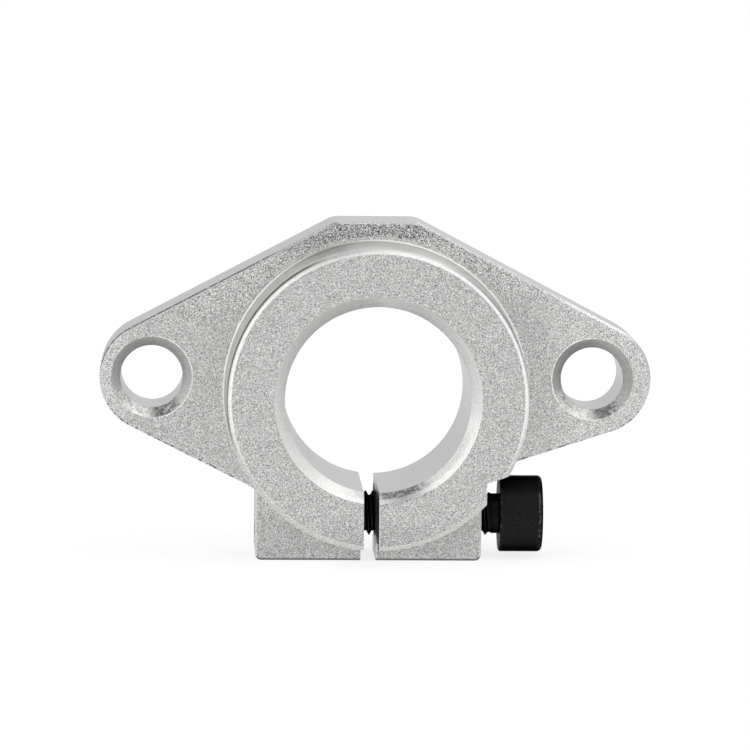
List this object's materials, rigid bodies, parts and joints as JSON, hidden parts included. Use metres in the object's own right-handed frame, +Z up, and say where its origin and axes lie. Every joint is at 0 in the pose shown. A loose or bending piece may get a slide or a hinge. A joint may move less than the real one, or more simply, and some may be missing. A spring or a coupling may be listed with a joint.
{
  "type": "shaft support block",
  "caption": "Flanged shaft support with a split clamping hub, a bored seat for a round shaft, two bolt holes in the flange ears and a socket-head clamp screw across the slot.",
  "frame": {"origin": "on the shaft bore's axis, in the flat mounting face at the back of the flange", "axes": "+X along the flange, +Y along the shaft bore from the hub out through the mounting face, +Z up, away from the clamp slot"},
  "size_m": [0.06, 0.02, 0.037],
  "materials": {
    "cast_aluminium": "blasted grain on the front faces, smooth flanks, bright machined chamfers",
    "black_oxide_steel": "black oxide with a light oil sheen"
  },
  "bodies": {
    "block": {"support_block": "cast_aluminium"},
    "screw": {"clamp_screw": "black_oxide_steel"}
  },
  "joints": [
    {"name": "clamp_screw_travel", "type": "slide", "parent": "block", "child": "screw", "axis": [1, 0, 0], "range_m": [-0.0021, 0.004]}
  ]
}
